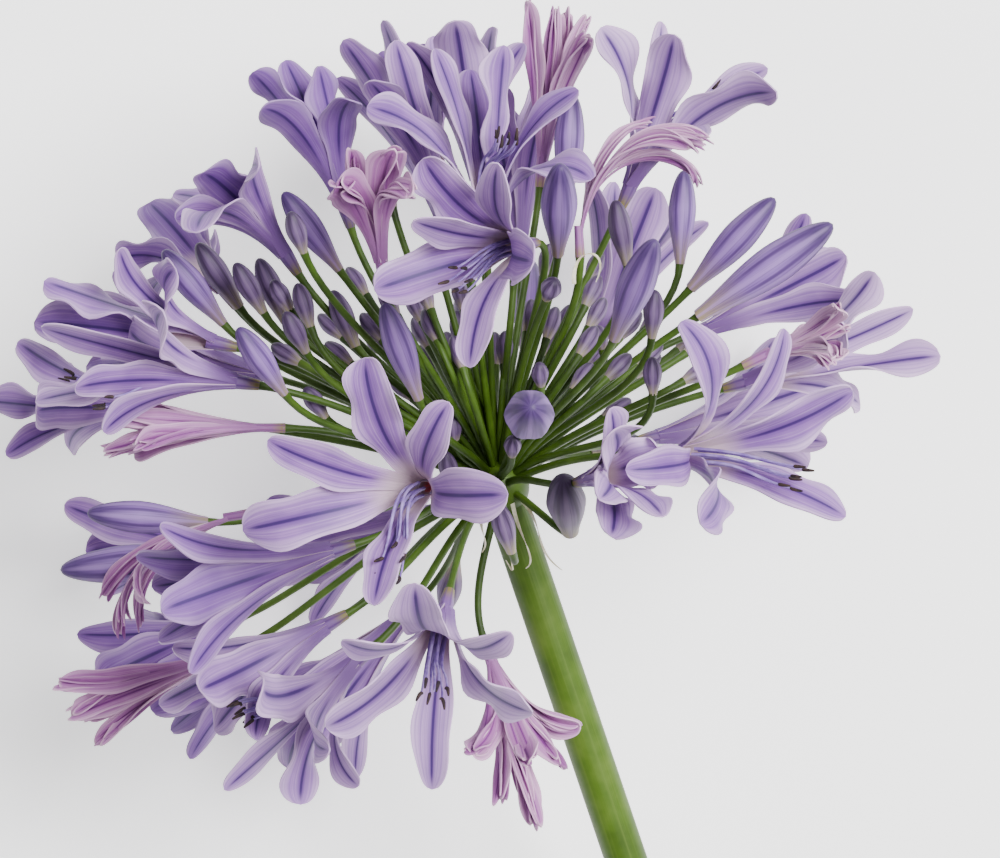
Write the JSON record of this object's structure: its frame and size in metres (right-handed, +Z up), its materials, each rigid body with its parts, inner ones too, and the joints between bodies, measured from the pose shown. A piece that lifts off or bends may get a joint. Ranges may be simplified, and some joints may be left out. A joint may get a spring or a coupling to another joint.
{
  "type": "agapanthus flower stem",
  "caption": "Cut agapanthus stem lying down: a round head of pale lavender funnel blooms, wilting pink blooms and purple buds on thin green flower stalks, above a long bare stalk.",
  "frame": {"origin": "middle of the bounding box, on the surface the stem lies on", "axes": "+Z up from the surface it lies on; the flower head is toward +Y, the cut end of the stalk toward -Y and a little toward +X"},
  "size_m": [0.2307, 0.4384, 0.1792],
  "materials": {
    "lavender_petal": "soft satin petal, pale lavender with a violet midline",
    "wilting_petal": "soft wilting petal, mauve pink",
    "bud_skin": "smooth waxy bud, dark greyish purple",
    "green_stalk": "smooth waxy green stalk"
  },
  "bodies": {
    "root": {"bloom_01": "lavender_petal", "bloom_02": "lavender_petal", "bloom_03": "lavender_petal", "bloom_04": "lavender_petal", "bloom_05": "lavender_petal", "bloom_06": "lavender_petal", "bloom_07": "lavender_petal", "bloom_08": "lavender_petal", "bloom_09": "lavender_petal", "bloom_10": "lavender_petal", "bloom_11": "lavender_petal", "bloom_12": "lavender_petal", "bloom_13": "lavender_petal", "bloom_14": "lavender_petal", "bloom_15": "lavender_petal", "bloom_16": "lavender_petal", "bloom_17": "lavender_petal", "bloom_18": "lavender_petal", "bloom_19": "lavender_petal", "bloom_20": "lavender_petal", "bloom_21": "lavender_petal", "bloom_22": "lavender_petal", "bloom_23": "lavender_petal", "bloom_24": "lavender_petal", "bloom_25": "lavender_petal", "bloom_26": "lavender_petal", "bloom_27": "lavender_petal", "bloom_28": "lavender_petal", "bloom_29": "lavender_petal", "bloom_30": "lavender_petal", "bud_01": "bud_skin", "bud_02": "bud_skin", "bud_03": "bud_skin", "bud_04": "bud_skin", "bud_05": "bud_skin", "bud_06": "bud_skin", "bud_07": "bud_skin", "bud_08": "bud_skin", "bud_09": "bud_skin", "bud_10": "bud_skin", "bud_11": "bud_skin", "bud_12": "bud_skin", "bud_13": "bud_skin", "bud_14": "bud_skin", "faded_bloom_01": "wilting_petal", "faded_bloom_02": "wilting_petal", "faded_bloom_03": "wilting_petal", "faded_bloom_04": "wilting_petal", "faded_bloom_05": "wilting_petal", "faded_bloom_06": "wilting_petal", "faded_bloom_07": "wilting_petal", "faded_bloom_08": "wilting_petal", "stalk": "green_stalk"}
  },
  "joints": []
}
